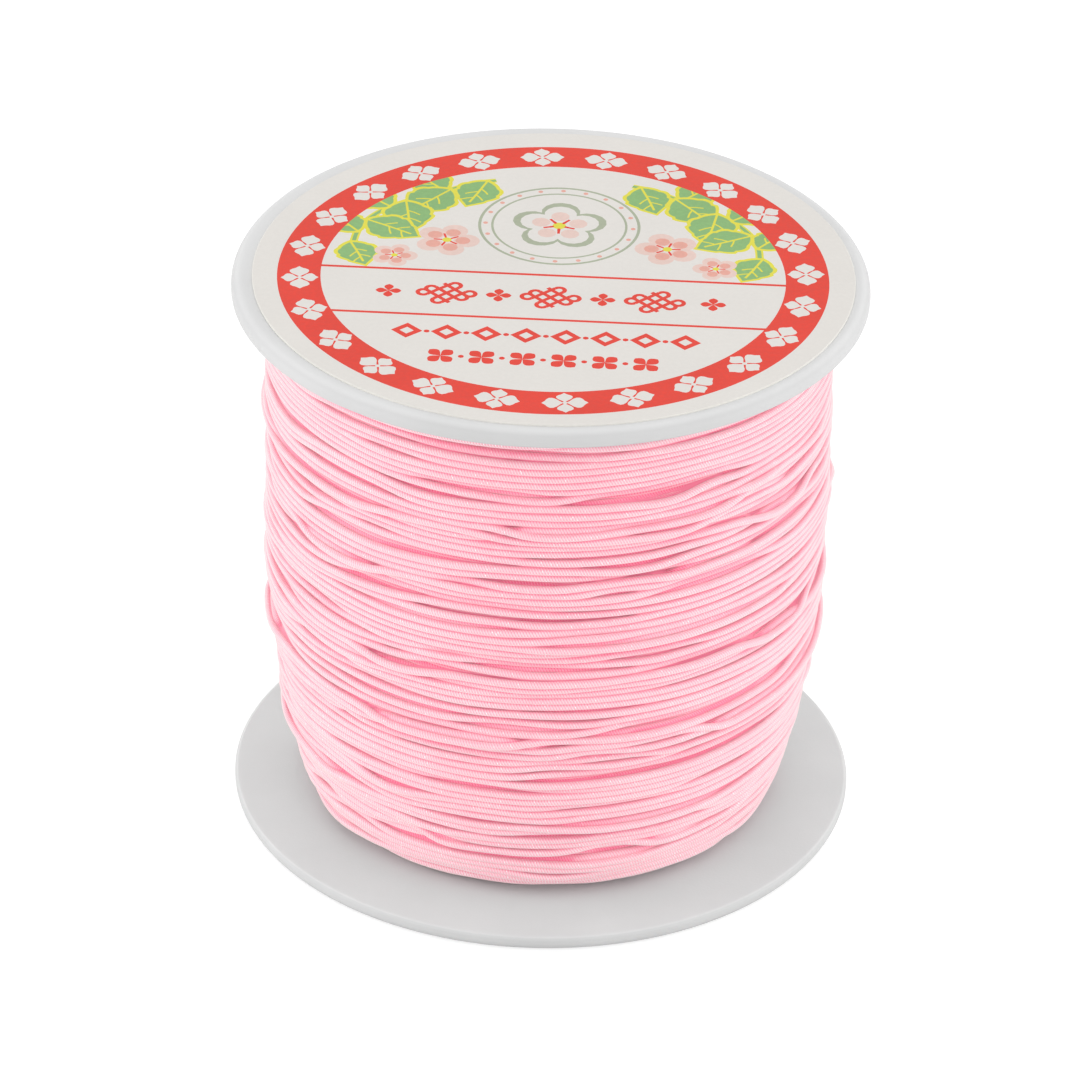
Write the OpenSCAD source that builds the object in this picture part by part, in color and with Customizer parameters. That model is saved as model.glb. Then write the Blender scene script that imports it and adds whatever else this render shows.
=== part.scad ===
// Small spool of fine braided knotting cord.
// Two identical flanges plug into a barrel, a winding of cord fills the space
// between them, and a round paper label is stuck on the upper flange.
// Millimetres. The spool stands on its lower flange, +Z runs up its axis, and
// the origin is the centre of the lower flange's outer face.

/* [Flanges] */
// Diameter of each flange
flange_d = 42; // [38:0.5:60]
// Thickness of each flange
flange_t = 1.1; // [1:0.1:2.4]
// Rounding of the edge on a flange's outer face
outer_round = 0.7; // [0.2:0.05:0.75]
// Rounding of the edge on a flange's inner face
inner_round = 0.25; // [0.1:0.05:0.3]

/* [Spindle bore] */
// Diameter of the bore that a winder's spindle goes into
bore_d = 8; // [5:0.25:9]
// Chamfer at the mouth of the bore
bore_chamfer = 0.4; // [0.1:0.05:0.8]
// Wall of the boss round the bore
boss_wall = 1.2; // [0.8:0.1:1.8]
// Height of the boss above a flange's inner face
boss_h = 6; // [2:0.5:9]

/* [Spigots] */
// Wall of the spigot that plugs into the barrel
spigot_wall = 1.2; // [0.8:0.1:1.4]
// Length of the spigot inside the barrel
spigot_l = 5; // [2:0.5:8]
// Lead-in chamfer on the spigot's end
spigot_chamfer = 0.4; // [0.1:0.05:0.6]
// Clearance between the spigot and the barrel, all round
fit_gap = 0.05; // [0.02:0.01:0.15]
// Number of ribs between the boss and the spigot
rib_count = 6; // [3:1:10]
// Thickness of a rib
rib_t = 0.9; // [0.6:0.1:1.6]
// Height of a rib above a flange's inner face
rib_h = 4; // [1:0.5:8]

/* [Barrel] */
// Outer diameter of the barrel
barrel_d = 20; // [18:0.5:24]
// Wall of the barrel
barrel_wall = 1.2; // [0.8:0.1:1.5]
// Length of the barrel, which is the space between the flanges
barrel_l = 37.4; // [28:0.2:60]
// Height of the hole that the cord starts from, above the lower flange
start_h = 11; // [9:0.5:18]
// Clearance of the cord in its starting hole, all round
start_gap = 0.15; // [0.05:0.05:0.3]

/* [Winding] */
// How far the full winding lies inside the flanges' edges
winding_inset = 2; // [0.8:0.1:6]
// How much slimmer the winding is below its shoulder
shoulder_drop = 1.4; // [0.2:0.1:2.5]
// Height above the lower flange where the shoulder begins
shoulder_low = 3; // [2:0.5:8]
// Height above the lower flange where the shoulder ends
shoulder_high = 18; // [10:0.5:22]
// How far the winding draws in where it meets the lower flange
foot_depth = 2.3; // [0.5:0.1:4.5]
// Height over which the winding draws in
foot_h = 7.5; // [3:0.5:8]

/* [Cord] */
// Diameter of the cord
cord_d = 0.52; // [0.3:0.02:0.6]
// Turns shown in the outer layer
turns = 22; // [8:1:24]
// Height of the first turn above the lower flange
first_turn_h = 1.5; // [1.2:0.1:4]
// Distance of the last turn from the upper flange
last_turn_gap = 1.3; // [1.2:0.1:4]
// Direction in which the cord's ends are tucked in, round the axis
tuck_angle = 90; // [0:5:355]
// Diameter of the stopper knot at the cord's start
knot_d = 1.5; // [1:0.1:2]

/* [Label] */
// Bare margin between the label and the flange's edge
label_margin = 1.2; // [1.1:0.1:8]
// Thickness of the label's paper
label_t = 0.12; // [0.08:0.01:0.3]
// How far the label sits off the spool's axis
label_offset = 0.3; // [0:0.05:0.3]
// Direction in which the label sits off the axis
label_offset_angle = -52; // [-180:1:180]

/* [Hidden] */

plastic = [0.86, 0.86, 0.85];
cord_pink = [1.0, 0.7, 0.77];
paper = [0.89, 0.88, 0.85];

flange_r = flange_d / 2;
bore_r = bore_d / 2;
boss_r = bore_r + boss_wall;
barrel_r = barrel_d / 2;
barrel_inner_r = barrel_r - barrel_wall;
spigot_r = barrel_inner_r - fit_gap;
spigot_inner_r = spigot_r - spigot_wall;
spool_h = barrel_l + 2 * flange_t;
label_r = flange_r - label_margin;
cord_r = cord_d / 2;

// Smallest gap left between pieces that rest on one another
seat_gap = 0.02;
// Overlap that joins shapes of one moulding, and passes cuts through
joint = 0.5;
// Steps in the rounded edges of a flange's outer and inner face
outer_steps = 3;
inner_steps = 2;
// Steps in the foot and the shoulder of the winding
foot_steps = 4;
shoulder_steps = 3;
// Exponent of the foot's curve: 2 is a quarter of an ellipse, less is a flatter curve
foot_power = 1.6;

// A turn of the outer layer
turn_rings = 24;
turn_sides = 6;
// A straight between two rings dips this share of its radius below them
ring_dip = 1 - cos(180 / turn_rings);
winding_r = flange_r - winding_inset;
turn_lift = seat_gap + winding_r * ring_dip;
layer_t = cord_d + turn_lift;
rise = barrel_l - first_turn_h - last_turn_gap;
// The tucked ends bend with a radius of two cord diameters
tuck_bend = 2 * cord_d;
tuck_steps = 5;
tuck_clearance = 0.2;
pocket_r = (tuck_bend + cord_r) / 2 + tuck_clearance;

$fn = 96;

// A smooth step from 0 to 1
function smooth(t) = t <= 0 ? 0 : t >= 1 ? 1 : t * t * (3 - 2 * t);

// How far the winding draws in at height h above the lower flange
function foot(h) =
    h >= foot_h ? 0 :
    let (reach = pow(1 - h / foot_h, foot_power))
    foot_depth * (1 - pow(1 - reach, 1 / foot_power));

// Radius of the winding under its outer layer, at height h above the lower flange
function smooth_core_r(h) =
    let (shoulder = smooth((h - shoulder_low) / (shoulder_high - shoulder_low)))
    winding_r - layer_t - shoulder_drop * (1 - shoulder) - foot(h);

// The same in straight steps, as a table of heights and radii
foot_heights = [for (i = [0:foot_steps]) foot_h * (1 - cos(90 * i / foot_steps))];
shoulder_step = (shoulder_high - foot_h) / shoulder_steps;
shoulder_heights = [for (i = [1:shoulder_steps]) foot_h + shoulder_step * i];
core_heights = concat(foot_heights, shoulder_heights, [barrel_l]);
core_table = [for (h = core_heights) [h, smooth_core_r(h)]];
function core_r(h) = lookup(h, core_table);

// Outward normal of that surface, as [radial, upward]
function core_normal(h) =
    let (step = 0.05)
    let (slope = (core_r(h + step) - core_r(h - step)) / (2 * step))
    [1, -slope] / norm([1, slope]);

function heading(a) = [cos(a), sin(a)];

// Points of a rounded corner: centre, radius, the two angles and the steps between them
function corner(centre, r, from, to, steps) = [
    for (i = [0:steps])
    centre + r * heading(from + (to - from) * i / steps)
];

// The cord's path in the outer layer: [x, y, z, heading], heading in degrees
function turn_point(k) =
    let (a = tuck_angle + 360 * k / turn_rings)
    let (h = first_turn_h + rise * k / (turns * turn_rings))
    let (n = core_normal(h))
    let (r = core_r(h) + (cord_r + turn_lift) * n[0])
    let (xy = r * heading(a))
    [xy[0], xy[1], flange_t + h + (cord_r + turn_lift) * n[1], a + 90];

// The quarter bend between an end of the turns and the straight into the core
function tuck_point(p, side, bend) =
    let (centre = [p[0], p[1]] - tuck_bend * heading(p[3] - 90))
    let (xy = centre + tuck_bend * heading(p[3] - 90 + side * bend))
    [xy[0], xy[1], p[2], p[3] + side * bend];

// The last point of a tucked end, a cord's diameter past its bend
function end_point(p, side) =
    let (q = tuck_point(p, side, 90))
    let (xy = [q[0], q[1]] + side * cord_d * heading(q[3]))
    [xy[0], xy[1], q[2], q[3]];

first_point = turn_point(0);
last_point = turn_point(turns * turn_rings);
cord_path = concat(
    [end_point(first_point, -1)],
    [for (i = [tuck_steps:-1:1]) tuck_point(first_point, -1, 90 * i / tuck_steps)],
    [for (k = [0:turns * turn_rings]) turn_point(k)],
    [for (i = [1:tuck_steps]) tuck_point(last_point, 1, 90 * i / tuck_steps)],
    [end_point(last_point, 1)]
);

// Least gap between one turn and the next, measured between the path's points
function xyz(p) = [p[0], p[1], p[2]];
least_gap = min([
    for (i = [0:len(cord_path) - 1])
    for (j = [i + turn_rings / 2:1:min(i + 1.5 * turn_rings, len(cord_path) - 1)])
    norm(xyz(cord_path[i]) - xyz(cord_path[j]))
]) - cord_d;
echo(str("Least gap between the turns of the outer layer: ", least_gap, " mm"));

// A moulded flange, outer face at z = 0 and spigot upwards
module flange() {
    rotate_extrude()
        polygon(concat(
            [[bore_r, bore_chamfer], [bore_r + bore_chamfer, 0]],
            corner([flange_r - outer_round, outer_round], outer_round, -90, 0, outer_steps),
            corner([flange_r - inner_round, flange_t - inner_round], inner_round, 0, 90, inner_steps),
            [[bore_r, flange_t]]
        ));
    boss();
    spigot();
    for (i = [0:rib_count - 1])
        rotate([0, 0, 360 * i / rib_count])
            rib();
}

module boss() {
    translate([0, 0, flange_t - joint])
        difference() {
            cylinder(h = boss_h + joint, r = boss_r);
            translate([0, 0, -joint])
                cylinder(h = boss_h + 3 * joint, r = bore_r);
        }
}

module spigot() {
    rotate_extrude()
        polygon([
            [spigot_inner_r, flange_t - joint],
            [spigot_r, flange_t - joint],
            [spigot_r, flange_t + spigot_l - spigot_chamfer],
            [spigot_r - spigot_chamfer, flange_t + spigot_l],
            [spigot_inner_r, flange_t + spigot_l]
        ]);
}

module rib() {
    start = boss_r - boss_wall / 2;
    end = spigot_inner_r + spigot_wall / 2;
    height = min(rib_h, boss_h, spigot_l - spigot_chamfer);
    translate([start, -rib_t / 2, flange_t - joint])
        cube([end - start, rib_t, height + joint]);
}

module lower_flange() {
    color(plastic)
        flange();
}

module upper_flange() {
    color(plastic)
        translate([0, 0, spool_h])
            mirror([0, 0, 1])
                flange();
}

// The tube between the flanges, with the hole that the cord starts from
module barrel() {
    color(plastic)
        difference() {
            translate([0, 0, flange_t])
                cylinder(h = barrel_l, r = barrel_r);
            cylinder(h = spool_h, r = barrel_inner_r);
            translate([0, 0, flange_t + start_h])
                rotate([0, 90, tuck_angle])
                    cylinder(h = barrel_d, r = cord_r + start_gap, $fn = 32);
        }
}

// The cord's inner end, which a knot holds behind the barrel's wall
module cord_start() {
    knot_steps = 4;
    knot_r = knot_d / 2;
    knot_centre = [0, barrel_inner_r - seat_gap - knot_r];
    color(cord_pink)
        translate([0, 0, flange_t + start_h])
            rotate([0, 90, tuck_angle])
                rotate_extrude($fn = 32)
                    polygon(concat(
                        corner(knot_centre, knot_r, -90, acos(cord_r / knot_r), knot_steps),
                        [[cord_r, barrel_r], [0, barrel_r]]
                    ));
}

// Room for a tucked end: p is the end of the turns, and side -1 its start or 1 its finish
module tuck_pocket(p, side) {
    floor_r = norm([p[0], p[1]]) - tuck_bend - cord_d;
    translate([0, 0, p[2]])
        rotate([0, 0, p[3] - 90])
            translate([floor_r, side * (tuck_bend + cord_r) / 2, 0])
                rotate([0, 90, 0])
                    cylinder(h = layer_t + tuck_bend + cord_d, r = pocket_r, $fn = 32);
}

// The inner layers of the winding, as one solid
module winding_core() {
    outline = [for (h = core_heights) [core_r(h), flange_t + h]];
    hollow_r = barrel_r + seat_gap;
    color(cord_pink)
        difference() {
            rotate_extrude()
                polygon(concat(
                    [[hollow_r, flange_t]],
                    outline,
                    [[hollow_r, flange_t + barrel_l]]
                ));
            tuck_pocket(first_point, -1);
            tuck_pocket(last_point, 1);
        }
}

// The outer layer: one unbroken cord in turns, its two ends tucked into the core
module winding_turns() {
    rings = len(cord_path);
    side_vectors = [for (i = [0:turn_sides - 1]) cord_r * heading(360 * i / turn_sides)];
    points = [
        for (p = cord_path)
        for (s = side_vectors)
        let (across = s[0] * heading(p[3] - 90))
        [p[0] + across[0], p[1] + across[1], p[2] + s[1]]
    ];
    walls = [
        for (i = [0:rings - 2])
        for (s = [0:turn_sides - 1])
        let (a = i * turn_sides + s)
        let (b = i * turn_sides + (s + 1) % turn_sides)
        each [[a, b, b + turn_sides], [a, b + turn_sides, a + turn_sides]]
    ];
    last = (rings - 1) * turn_sides;
    start_cap = [for (s = [1:turn_sides - 2]) [0, s + 1, s]];
    end_cap = [for (s = [1:turn_sides - 2]) [last, last + s, last + s + 1]];
    color(cord_pink)
        polyhedron(points = points, faces = concat(walls, start_cap, end_cap));
}

// The round paper label on the upper flange
module upper_label() {
    color(paper)
        rotate([0, 0, label_offset_angle])
            translate([label_offset, 0, spool_h])
                cylinder(h = label_t, r = label_r);
}

lower_flange();
upper_flange();
barrel();
cord_start();
winding_core();
winding_turns();
upper_label();
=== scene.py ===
import math

import bpy
import numpy as np
from mathutils import Matrix, Vector
from mathutils.geometry import delaunay_2d_cdt


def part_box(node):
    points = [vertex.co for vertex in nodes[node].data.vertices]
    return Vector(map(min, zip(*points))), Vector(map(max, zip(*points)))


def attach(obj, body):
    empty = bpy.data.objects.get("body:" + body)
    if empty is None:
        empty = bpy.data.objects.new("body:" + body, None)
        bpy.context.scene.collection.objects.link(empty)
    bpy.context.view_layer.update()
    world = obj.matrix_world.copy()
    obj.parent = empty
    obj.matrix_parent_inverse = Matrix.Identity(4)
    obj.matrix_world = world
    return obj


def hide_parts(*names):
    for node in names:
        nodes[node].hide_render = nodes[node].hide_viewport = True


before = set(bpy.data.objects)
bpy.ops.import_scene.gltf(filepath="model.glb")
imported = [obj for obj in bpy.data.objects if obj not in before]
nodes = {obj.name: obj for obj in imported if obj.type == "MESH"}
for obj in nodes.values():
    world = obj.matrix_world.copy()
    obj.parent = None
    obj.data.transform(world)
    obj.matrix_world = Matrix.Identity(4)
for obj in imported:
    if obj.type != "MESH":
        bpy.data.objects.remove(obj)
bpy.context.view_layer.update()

# The geometry is worked out in millimetres and scaled when a mesh is made
MM = 0.001


# ---------------------------------------------------------------- meshes

def mesh_object(name, points, faces, materials, face_material=None, smooth=True):
    """A mesh from points in millimetres and a list of polygons."""
    mesh = bpy.data.meshes.new(name)
    places = (np.asarray(points, float) * MM).astype(np.float32)
    mesh.vertices.add(len(places))
    mesh.vertices.foreach_set("co", places.ravel())
    corners = np.concatenate([np.asarray(face) for face in faces]).astype(np.int32)
    mesh.loops.add(len(corners))
    mesh.loops.foreach_set("vertex_index", corners)
    sizes = np.array([len(face) for face in faces])
    starts = np.concatenate([[0], np.cumsum(sizes)[:-1]]).astype(np.int32)
    mesh.polygons.add(len(sizes))
    mesh.polygons.foreach_set("loop_start", starts)
    if face_material is not None:
        mesh.polygons.foreach_set("material_index", np.asarray(face_material, np.int32))
    mesh.polygons.foreach_set("use_smooth", np.full(len(sizes), smooth))
    for material in materials:
        mesh.materials.append(material)
    mesh.update(calc_edges=True)
    mesh.validate()
    piece = bpy.data.objects.new(name, mesh)
    bpy.context.scene.collection.objects.link(piece)
    return piece


def sharpen(piece, degrees):
    """Keeps the edges sharper than this angle sharp on a smooth mesh."""
    bpy.context.view_layer.objects.active = piece
    for other in bpy.context.selected_objects:
        other.select_set(False)
    piece.select_set(True)
    bpy.ops.object.shade_smooth_by_angle(angle=math.radians(degrees))
    piece.select_set(False)


def arc(centre, radius, start, end, steps):
    """Points (r, z) of an arc, with the angles in degrees."""
    angles = np.radians(np.linspace(start, end, steps + 1))
    return [(centre[0] + radius * math.cos(a), centre[1] + radius * math.sin(a)) for a in angles]


def turned_faces(steps, count):
    """Quads of a closed outline of count points that is turned all the way round in steps."""
    i, j = np.meshgrid(np.arange(steps), np.arange(count), indexing="ij")
    here, after = i * count, (i + 1) % steps * count
    above = (j + 1) % count
    quads = np.stack([here + j, after + j, after + above, here + above], -1)
    return quads.reshape(-1, 4).tolist()


def unit(vectors):
    return vectors / np.linalg.norm(vectors, axis=1)[:, None]


# ---------------------------------------------------------------- material nodes

def new_material(name):
    material = bpy.data.materials.new(name)
    material.use_nodes = True
    tree = material.node_tree
    return material, tree, tree.nodes["Principled BSDF"]


def add(tree, kind, **values):
    """A shader node, with plain values for some of its inputs."""
    node = tree.nodes.new(kind)
    for socket, value in values.items():
        node.inputs[socket].default_value = value
    return node


def feed(tree, value, socket):
    """Gives a socket a plain number or colour, or the output of another node."""
    if isinstance(value, (int, float)):
        socket.default_value = value
    elif isinstance(value, tuple):
        socket.default_value = (*value, 1)
    else:
        tree.links.new(value, socket)


def maths(tree, operation, *values):
    node = tree.nodes.new("ShaderNodeMath")
    node.operation = operation
    for socket, value in zip(node.inputs, values):
        feed(tree, value, socket)
    return node.outputs[0]


def scaled(tree, value, factor, offset):
    """The value times the factor, plus the offset."""
    return maths(tree, "ADD", maths(tree, "MULTIPLY", value, factor), offset)


def weighted(tree, *shares):
    """The sum of two values, each times its share."""
    a, b = (maths(tree, "MULTIPLY", value, share) for value, share in shares)
    return maths(tree, "ADD", a, b)


def blend_colours(tree, factor, a, b):
    """A mix of two colours, each a plain colour or a socket."""
    node = tree.nodes.new("ShaderNodeMix")
    node.data_type = "RGBA"
    # The colour mix has its inputs at these places
    for place, value in ((0, factor), (6, a), (7, b)):
        feed(tree, value, node.inputs[place])
    return node.outputs[2]


def ramp(tree, value, low, high):
    """A smooth 0 to 1 from low to high of a socket's value."""
    node = tree.nodes.new("ShaderNodeMapRange")
    node.interpolation_type = "SMOOTHSTEP"
    for socket, given in zip(node.inputs, (value, low, high)):
        feed(tree, given, socket)
    return node.outputs[0]


def separate(tree, vector):
    node = tree.nodes.new("ShaderNodeSeparateXYZ")
    tree.links.new(vector, node.inputs[0])
    return node.outputs


def noise(tree, scale, detail=3.0):
    """Noise with that many features to the metre."""
    coordinates = tree.nodes.new("ShaderNodeTexCoord")
    node = add(tree, "ShaderNodeTexNoise", Scale=scale, Detail=detail)
    tree.links.new(coordinates.outputs["Object"], node.inputs["Vector"])
    return node.outputs[0]


def bump(tree, shader, height, distance_mm, strength):
    node = add(tree, "ShaderNodeBump", Strength=strength, Distance=distance_mm * MM)
    tree.links.new(height, node.inputs["Height"])
    tree.links.new(node.outputs[0], shader.inputs["Normal"])


def set_plain(shader, values):
    for socket, value in values.items():
        shader.inputs[socket].default_value = value


def by_ray(tree, rays, otherwise, seen):
    """One shader for rays of these kinds, and another for the rest."""
    path = tree.nodes.new("ShaderNodeLightPath")
    factor = path.outputs[rays[0]]
    for ray in rays[1:]:
        factor = maths(tree, "MAXIMUM", factor, path.outputs[ray])
    mix = tree.nodes.new("ShaderNodeMixShader")
    for socket, output in zip(mix.inputs, (factor, otherwise, seen)):
        tree.links.new(output, socket)
    return mix.outputs[0]


# ---------------------------------------------------------------- plastic, print and cord

# The plastic's colour on flat faces, and with painted shade on upright sides
PLASTIC_FACE = (0.72, 0.72, 0.72)
PLASTIC_SIDE_SHADE = (0.62, 0.62, 0.62)

# Features to the metre, of tone and of surface
PLASTIC_CLOUDS, PLASTIC_GLOSS, PLASTIC_GRAIN = 160, 900, 5200
PAPER_CLOUDS, PAPER_FIBRES = 220, 3200
CORD_PATCHES = 260
# How deep the bumps are, in millimetres
GRAIN_DEPTH, FIBRE_DEPTH, BRAID_DEPTH = 0.012, 0.01, 0.015

# Distance along the cord from one strand of the braid to the next, and strands round the cord
BRAID_PITCH = 0.19
BRAID_STRANDS = 4
# The braid's crests in two tones, and its hollows with painted shade
CORD_LIGHT = (1.0, 0.69, 0.735)
CORD_LIGHT_2 = (1.0, 0.64, 0.695)
CORD_HOLLOW_SHADE = (1.0, 0.40, 0.51)
# The same with painted shade, deeper between the turns where neighbours hide the light
RECESS_SHADE_PALE = (0.99, 0.25, 0.39)
RECESS_SHADE_DEEP = (0.97, 0.11, 0.24)
# The colour of light thrown from cord to cord, and from the winding on to the flanges
CORD_BOUNCE = (1.0, 0.72, 0.78)
FAR_BOUNCE = (0.72, 0.72, 0.72)
# The colour of a painted highlight, or glint
GLINT = (1.0, 0.96, 0.96)
# Share of the braid's cells that glint
GLINT_SHARE = 0.03


def plastic_material(name, face_colour, side_shade_colour):
    """Moulded plastic: matt and faintly uneven in tone and surface, with shade painted on its
    upright sides, which makes them greyer than its flat faces.
    """
    material, tree, shader = new_material(name)
    coordinates = tree.nodes.new("ShaderNodeTexCoord")
    upright = separate(tree, coordinates.outputs["Normal"])[2]
    # Painted shade: faces turn to the darker side colour as they turn upright
    flat = ramp(tree, maths(tree, "ABSOLUTE", upright), 0.6, 1.0)
    colour = blend_colours(tree, flat, side_shade_colour, face_colour)
    shade = maths(tree, "MULTIPLY", ramp(tree, noise(tree, PLASTIC_CLOUDS), 0.3, 0.7), 0.035)
    clouded = blend_colours(tree, shade, colour, (0.0, 0.0, 0.0))
    tree.links.new(clouded, shader.inputs["Base Color"])
    gloss = ramp(tree, noise(tree, PLASTIC_GLOSS), 0.25, 0.75)
    tree.links.new(scaled(tree, gloss, 0.1, 0.58), shader.inputs["Roughness"])
    bump(tree, shader, noise(tree, PLASTIC_GRAIN, 2), GRAIN_DEPTH, 0.6)
    set_plain(shader, {
        "Specular IOR Level": 0.2,
        "Subsurface Weight": 0.1,
        "Subsurface Radius": (1, 1, 1),
        "Subsurface Scale": 0.8 * MM,
    })
    return material


def print_material(name, colour, spread):
    """Ink or bare paper: matt, with the paper's fibres in its tone and its surface."""
    material, tree, shader = new_material(name)
    fibre = ramp(tree, noise(tree, PAPER_FIBRES, 5), 0.35, 0.7)
    cloud = ramp(tree, noise(tree, PAPER_CLOUDS, 2), 0.3, 0.7)
    tone = weighted(tree, (fibre, 0.6), (cloud, 0.4))
    darker = tuple(c * (1 - spread) for c in colour)
    tree.links.new(blend_colours(tree, tone, darker, colour), shader.inputs["Base Color"])
    tree.links.new(scaled(tree, fibre, 0.1, 0.6), shader.inputs["Roughness"])
    bump(tree, shader, fibre, FIBRE_DEPTH, 0.5)
    set_plain(shader, {"Specular IOR Level": 0.25})
    return material


def braid_height(tree, uv):
    """The surface of the braid, 0 to 1: strands that go round the cord both ways."""
    position = separate(tree, uv)
    along = maths(tree, "MULTIPLY", position[0], 2 * math.pi / BRAID_PITCH)
    around = maths(tree, "MULTIPLY", position[1], 2 * math.pi * BRAID_STRANDS)
    left = maths(tree, "SINE", maths(tree, "ADD", along, around))
    right = maths(tree, "SINE", maths(tree, "SUBTRACT", along, around))
    # The strands of one way stand out more than those of the other
    return maths(tree, "ADD", weighted(tree, (left, 0.36), (right, 0.14)), 0.5)


def glints(tree, uv):
    """1 in a few cells of the braid, chosen at random, and 0 in the others."""
    cell = tree.nodes.new("ShaderNodeVectorMath")
    cell.operation = "MULTIPLY"
    cell.inputs[1].default_value = (3 / BRAID_PITCH, 4 * BRAID_STRANDS, 1)
    tree.links.new(uv, cell.inputs[0])
    whole = tree.nodes.new("ShaderNodeVectorMath")
    whole.operation = "FLOOR"
    tree.links.new(cell.outputs[0], whole.inputs[0])
    chance = tree.nodes.new("ShaderNodeTexWhiteNoise")
    chance.noise_dimensions = "2D"
    tree.links.new(whole.outputs[0], chance.inputs["Vector"])
    return maths(tree, "GREATER_THAN", chance.outputs[0], 1 - GLINT_SHARE)


def cord_material(name):
    """Braided nylon. The UV map "cord" has the length along the cord in millimetres and the share
    of the way round it. The attribute "depth" says how deep between other turns a place lies;
    the deeper it lies, the more shade is painted there."""
    material, tree, shader = new_material(name)
    uv = tree.nodes.new("ShaderNodeUVMap")
    uv.uv_map = "cord"
    height = braid_height(tree, uv.outputs[0])
    # Painted shade: where the braid is low, in the hollows between strands, the colour is darker
    tone = ramp(tree, height, 0.1, 0.7)
    patches = ramp(tree, noise(tree, CORD_PATCHES, 2), 0.35, 0.65)
    light = blend_colours(tree, patches, CORD_LIGHT, CORD_LIGHT_2)
    colour = blend_colours(tree, tone, CORD_HOLLOW_SHADE, light)
    # Painted shade: between the turns the pink is painted deeper, standing in for the dimmer light
    # there that has passed from cord to cord
    attribute = tree.nodes.new("ShaderNodeAttribute")
    attribute.attribute_name = "depth"
    depth = ramp(tree, attribute.outputs["Fac"], 0.1, 0.9)
    recess_shade = blend_colours(tree, tone, RECESS_SHADE_DEEP, RECESS_SHADE_PALE)
    colour = blend_colours(tree, depth, colour, recess_shade)
    # Painted highlights: a few random cells on the braid's crests are painted near white, as glints
    spark = maths(tree, "MULTIPLY", glints(tree, uv.outputs[0]), tone)
    spark = maths(tree, "MULTIPLY", spark, maths(tree, "SUBTRACT", 1, depth))
    colour = blend_colours(tree, maths(tree, "MULTIPLY", spark, 0.8), colour, GLINT)
    # What the winding throws on to the flanges is paler than what its turns throw on to each other
    path = tree.nodes.new("ShaderNodeLightPath")
    far = ramp(tree, path.outputs["Ray Length"], 0.5 * MM, 2 * MM)
    thrown = blend_colours(tree, far, CORD_BOUNCE, FAR_BOUNCE)
    colour = blend_colours(tree, path.outputs["Is Diffuse Ray"], colour, thrown)
    tree.links.new(colour, shader.inputs["Base Color"])
    tree.links.new(scaled(tree, spark, -0.2, 0.6), shader.inputs["Roughness"])
    bump(tree, shader, height, BRAID_DEPTH, 0.7)
    set_plain(shader, {
        "Specular IOR Level": 0.2,
        "Sheen Weight": 0.9,
        "Sheen Roughness": 0.6,
        "Sheen Tint": (1.0, 1.0, 0.95, 1),
    })
    return material


plastic = plastic_material("white_plastic", PLASTIC_FACE, PLASTIC_SIDE_SHADE)
cord_pink = cord_material("cord_pink")


# ---------------------------------------------------------------- the spool

FLANGE_R, FLANGE_T, SPOOL_H = 21.0, 1.1, 39.6
OUTER_ROUND, INNER_ROUND = 0.7, 0.25
BORE_R, BORE_CHAMFER, BOSS_R, BOSS_H = 4.0, 0.4, 5.2, 6.0
SPIGOT_IN, SPIGOT_OUT, SPIGOT_L, SPIGOT_CHAMFER = 7.55, 8.75, 5.0, 0.4
BARREL_R, BARREL_IN, BARREL_L = 10.0, 8.8, SPOOL_H - 2 * FLANGE_T
RIBS, RIB_T, RIB_H = 6, 0.9, 4.0
# Rounding of the corners that the mould leaves soft
SOFT = 0.12
FLANGE_STEPS = 256
# Angle over which the edges of the flange's mesh stay sharp
SHARP_DEGREES = 35
# A thin moulding is never quite flat: from this radius on it rises towards its edge by up to
# this much, in waves
WARP_START, WARP = 12, 0.03


def flange_outline():
    """The flange's cross-section as a closed line, outer face at z = 0. Points along its flat
    parts keep their shading flat."""
    t = FLANGE_T
    return [
        *arc((BORE_R + BORE_CHAMFER, BORE_CHAMFER), BORE_CHAMFER, 180, 270, 5),
        (BORE_R + 1.5, 0), (9.0, 0), (14.0, 0), (18.0, 0), (FLANGE_R - OUTER_ROUND - 0.15, 0),
        *arc((FLANGE_R - OUTER_ROUND, OUTER_ROUND), OUTER_ROUND, -90, 0, 12),
        *arc((FLANGE_R - INNER_ROUND, t - INNER_ROUND), INNER_ROUND, 0, 90, 7),
        (FLANGE_R - INNER_ROUND - 0.1, t), (18.0, t), (14.0, t), (SPIGOT_OUT + 0.1, t),
        (SPIGOT_OUT, t + 0.1), (SPIGOT_OUT, t + SPIGOT_L - SPIGOT_CHAMFER - 0.05),
        (SPIGOT_OUT - SPIGOT_CHAMFER, t + SPIGOT_L),
        *arc((SPIGOT_IN + SOFT, t + SPIGOT_L - SOFT), SOFT, 90, 180, 3),
        *arc((SPIGOT_IN - SOFT, t + SOFT), SOFT, 0, -90, 3),
        *arc((BOSS_R + SOFT, t + SOFT), SOFT, -90, -180, 3),
        *arc((BOSS_R - SOFT, t + BOSS_H - SOFT), SOFT, 0, 90, 3),
        *arc((BORE_R + SOFT, t + BOSS_H - SOFT), SOFT, 90, 180, 3),
    ]


def rib_box(angle):
    """A rib between the boss and the spigot, with its upper edges taken off."""
    overlap, chamfer = 0.5, 0.1
    x0, x1 = BOSS_R - overlap, SPIGOT_IN + overlap
    z0, z1, w = FLANGE_T - 0.3, FLANGE_T + RIB_H, RIB_T / 2
    section = [
        (-w, z0), (w, z0), (w, z1 - chamfer),
        (w - chamfer, z1), (chamfer - w, z1), (-w, z1 - chamfer),
    ]
    turn = np.array([[math.cos(angle), math.sin(angle)], [-math.sin(angle), math.cos(angle)]])
    points = [(*(np.array([x, y]) @ turn), z) for x in (x0, x1) for y, z in section]
    n = len(section)
    sides = [[i, (i + 1) % n, (i + 1) % n + n, i + n] for i in range(n)]
    return points, [*sides, list(range(n - 1, -1, -1)), list(range(n, 2 * n))]


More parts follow.
